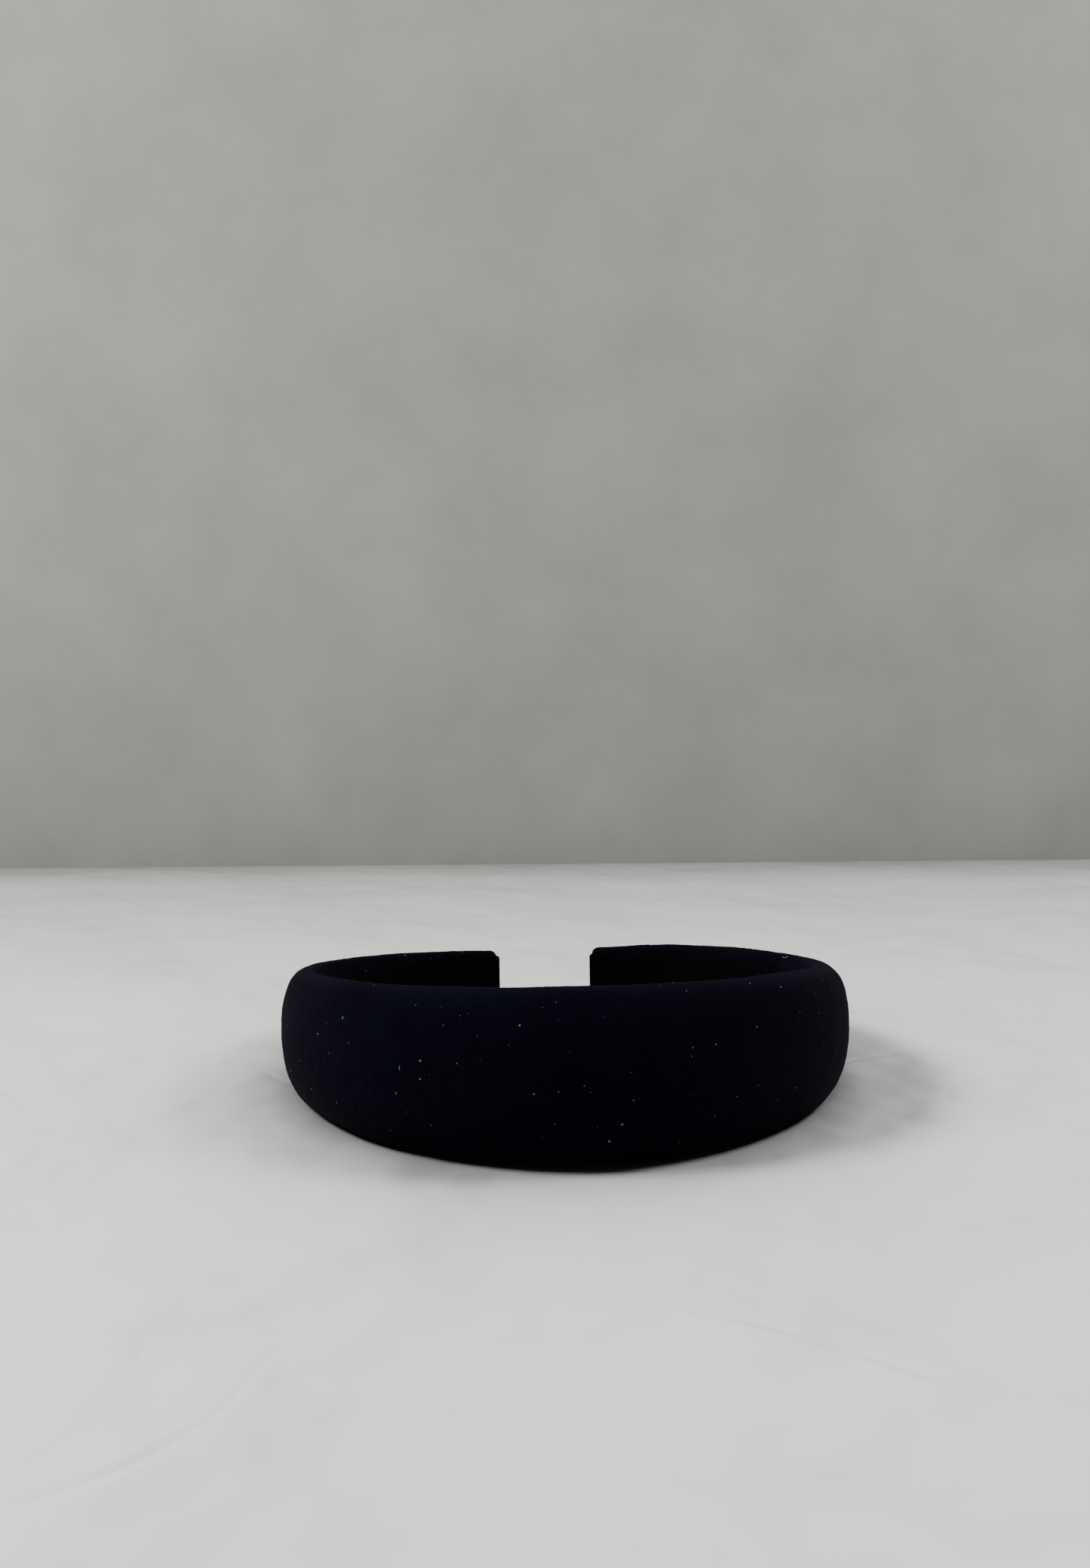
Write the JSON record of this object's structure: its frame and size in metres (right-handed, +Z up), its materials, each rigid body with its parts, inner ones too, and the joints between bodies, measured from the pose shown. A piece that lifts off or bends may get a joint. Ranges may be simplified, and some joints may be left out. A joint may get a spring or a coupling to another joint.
{
  "type": "padded headband",
  "caption": "Wide padded velvet headband on a springy open hoop, tapering to its tips, with a ribbon lining on the inside.",
  "frame": {"origin": "on the table under the middle of the headband's bounding box, as it lies on its lower edge", "axes": "+Z up from the table, X across the head from the left arm (-X) to the right arm (+X), the wide crown at -Y and the two tips at +Y"},
  "size_m": [0.1482, 0.1385, 0.038],
  "materials": {
    "velvet": "short dense pile velvet, bluish black, soft sheen at grazing angles",
    "ribbon": "fine ribbed matte ribbon, black",
    "foam": "open cell polyurethane foam, grey",
    "core_plastic": "moulded polypropylene, satin",
    "foam_tape": "double-sided tape, thin and translucent white",
    "hot_melt_glue": "set hot-melt glue, amber and slightly glossy"
  },
  "bodies": {
    "crown": {"core_crown": "core_plastic", "foam_tape_crown": "foam_tape", "foam_crown": "foam", "cover_crown": "velvet", "margin_glue_crown": "hot_melt_glue", "ribbon_glue_crown": "hot_melt_glue", "ribbon_crown": "ribbon"},
    "left_arm": {"core_left_arm": "core_plastic", "foam_tape_left_arm": "foam_tape", "foam_left_arm": "foam", "cover_left_arm": "velvet", "margin_glue_left_arm": "hot_melt_glue", "ribbon_glue_left_arm": "hot_melt_glue", "ribbon_left_arm": "ribbon"},
    "right_arm": {"core_right_arm": "core_plastic", "foam_tape_right_arm": "foam_tape", "foam_right_arm": "foam", "cover_right_arm": "velvet", "margin_glue_right_arm": "hot_melt_glue", "ribbon_glue_right_arm": "hot_melt_glue", "ribbon_right_arm": "ribbon"}
  },
  "joints": [
    {"name": "left_flex", "type": "hinge", "parent": "crown", "child": "left_arm", "pos_m": [-0.05225, -0.03414, 0.01706], "axis": [0, 0.0738, 0.9973], "range_deg": [-6, 26], "stiffness_Nm_per_rad": 0.7},
    {"name": "right_flex", "type": "hinge", "parent": "crown", "child": "right_arm", "pos_m": [0.05225, -0.03414, 0.01706], "axis": [0, -0.0738, -0.9973], "range_deg": [-6, 26], "stiffness_Nm_per_rad": 0.7}
  ]
}
